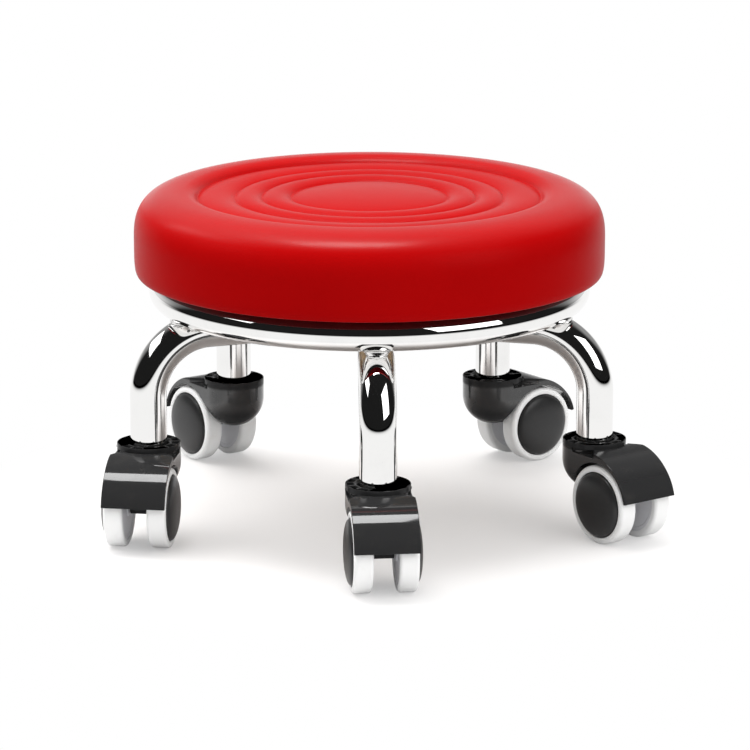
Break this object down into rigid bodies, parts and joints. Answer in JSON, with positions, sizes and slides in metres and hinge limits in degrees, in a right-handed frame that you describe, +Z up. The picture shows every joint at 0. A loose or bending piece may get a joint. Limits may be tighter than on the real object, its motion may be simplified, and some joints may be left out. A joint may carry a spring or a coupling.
{
  "type": "rolling stool",
  "caption": "Low round rolling stool with a ribbed vinyl cushion, a chrome ring on bent tube legs and swivelling twin-wheel casters.",
  "frame": {"origin": "on the floor, under the middle of the seat, where the legs' vertical axis meets it", "axes": "+Z up; the front leg points along -Y; +X to the right seen from the front"},
  "size_m": [0.3576, 0.3808, 0.2113],
  "materials": {
    "vinyl": "smooth semi-gloss vinyl",
    "foam": "open-cell foam",
    "plywood": "bare plywood",
    "chrome": "polished chrome plate",
    "zinc_steel": "bright zinc plate",
    "black_plastic": "glossy black nylon",
    "tyre": "smooth white polyurethane",
    "grey_nylon": "satin grey nylon"
  },
  "bodies": {
    "frame": {"support_ring": "chrome", "hub": "chrome", "ring_welds": "chrome", "seat_lugs": "chrome", "stem_sockets": "zinc_steel", "caster_stems": "zinc_steel", "grip_rings": "zinc_steel", "seat_board": "plywood", "seat_foam": "foam", "seat_cover": "vinyl", "seat_screws": "zinc_steel", "screw_washers": "zinc_steel", "tee_nuts": "zinc_steel", "cover_staples": "zinc_steel", "front_leg": "chrome", "right_leg": "chrome", "rear_right_leg": "chrome", "rear_left_leg": "chrome", "left_leg": "chrome"},
    "front_caster": {"front_hood": "black_plastic", "front_axle": "zinc_steel"},
    "right_caster": {"right_hood": "black_plastic", "right_axle": "zinc_steel"},
    "rear_right_caster": {"rear_right_hood": "black_plastic", "rear_right_axle": "zinc_steel"},
    "rear_left_caster": {"rear_left_hood": "black_plastic", "rear_left_axle": "zinc_steel"},
    "left_caster": {"left_hood": "black_plastic", "left_axle": "zinc_steel"},
    "front_wheel_l": {"front_tyre_l": "tyre", "front_core_l": "grey_nylon", "front_cap_l": "black_plastic"},
    "front_wheel_r": {"front_tyre_r": "tyre", "front_core_r": "grey_nylon", "front_cap_r": "black_plastic"},
    "right_wheel_l": {"right_tyre_l": "tyre", "right_core_l": "grey_nylon", "right_cap_l": "black_plastic"},
    "right_wheel_r": {"right_tyre_r": "tyre", "right_core_r": "grey_nylon", "right_cap_r": "black_plastic"},
    "rear_right_wheel_l": {"rear_right_tyre_l": "tyre", "rear_right_core_l": "grey_nylon", "rear_right_cap_l": "black_plastic"},
    "rear_right_wheel_r": {"rear_right_tyre_r": "tyre", "rear_right_core_r": "grey_nylon", "rear_right_cap_r": "black_plastic"},
    "rear_left_wheel_l": {"rear_left_tyre_l": "tyre", "rear_left_core_l": "grey_nylon", "rear_left_cap_l": "black_plastic"},
    "rear_left_wheel_r": {"rear_left_tyre_r": "tyre", "rear_left_core_r": "grey_nylon", "rear_left_cap_r": "black_plastic"},
    "left_wheel_l": {"left_tyre_l": "tyre", "left_core_l": "grey_nylon", "left_cap_l": "black_plastic"},
    "left_wheel_r": {"left_tyre_r": "tyre", "left_core_r": "grey_nylon", "left_cap_r": "black_plastic"}
  },
  "joints": [
    {"name": "front_swivel", "type": "hinge", "parent": "frame", "child": "front_caster", "pos_m": [0, -0.1475, 0.0555], "axis": [0, 0, 1], "continuous": true},
    {"name": "right_swivel", "type": "hinge", "parent": "frame", "child": "right_caster", "pos_m": [0.14028, -0.04558, 0.0555], "axis": [0, 0, 1], "continuous": true},
    {"name": "rear_right_swivel", "type": "hinge", "parent": "frame", "child": "rear_right_caster", "pos_m": [0.0867, 0.11933, 0.0555], "axis": [0, 0, 1], "continuous": true},
    {"name": "rear_left_swivel", "type": "hinge", "parent": "frame", "child": "rear_left_caster", "pos_m": [-0.0867, 0.11933, 0.0555], "axis": [0, 0, 1], "continuous": true},
    {"name": "left_swivel", "type": "hinge", "parent": "frame", "child": "left_caster", "pos_m": [-0.14028, -0.04558, 0.0555], "axis": [0, 0, 1], "continuous": true},
    {"name": "front_roll_l", "type": "hinge", "parent": "front_caster", "child": "front_wheel_l", "pos_m": [0.00188, -0.17443, 0.025], "axis": [0.9976, 0.0698, 0], "continuous": true},
    {"name": "front_roll_r", "type": "hinge", "parent": "front_caster", "child": "front_wheel_r", "pos_m": [0.00188, -0.17443, 0.025], "axis": [0.9976, 0.0698, 0], "continuous": true},
    {"name": "right_roll_l", "type": "hinge", "parent": "right_caster", "child": "right_wheel_l", "pos_m": [0.15538, -0.06796, 0.025], "axis": [0.829, 0.5592, 0], "continuous": true},
    {"name": "right_roll_r", "type": "hinge", "parent": "right_caster", "child": "right_wheel_r", "pos_m": [0.15538, -0.06796, 0.025], "axis": [0.829, 0.5592, 0], "continuous": true},
    {"name": "rear_right_roll_l", "type": "hinge", "parent": "rear_right_caster", "child": "rear_right_wheel_l", "pos_m": [0.10868, 0.13501, 0.025], "axis": [-0.5807, 0.8141, 0], "continuous": true},
    {"name": "rear_right_roll_r", "type": "hinge", "parent": "rear_right_caster", "child": "rear_right_wheel_r", "pos_m": [0.10868, 0.13501, 0.025], "axis": [-0.5807, 0.8141, 0], "continuous": true},
    {"name": "rear_left_roll_l", "type": "hinge", "parent": "rear_left_caster", "child": "rear_left_wheel_l", "pos_m": [-0.10121, 0.1421, 0.025], "axis": [-0.8434, -0.5373, 0], "continuous": true},
    {"name": "rear_left_roll_r", "type": "hinge", "parent": "rear_left_caster", "child": "rear_left_wheel_r", "pos_m": [-0.10121, 0.1421, 0.025], "axis": [-0.8434, -0.5373, 0], "continuous": true},
    {"name": "left_roll_l", "type": "hinge", "parent": "left_caster", "child": "left_wheel_l", "pos_m": [-0.14497, -0.07217, 0.025], "axis": [0.9848, -0.1736, 0], "continuous": true},
    {"name": "left_roll_r", "type": "hinge", "parent": "left_caster", "child": "left_wheel_r", "pos_m": [-0.14497, -0.07217, 0.025], "axis": [0.9848, -0.1736, 0], "continuous": true}
  ]
}
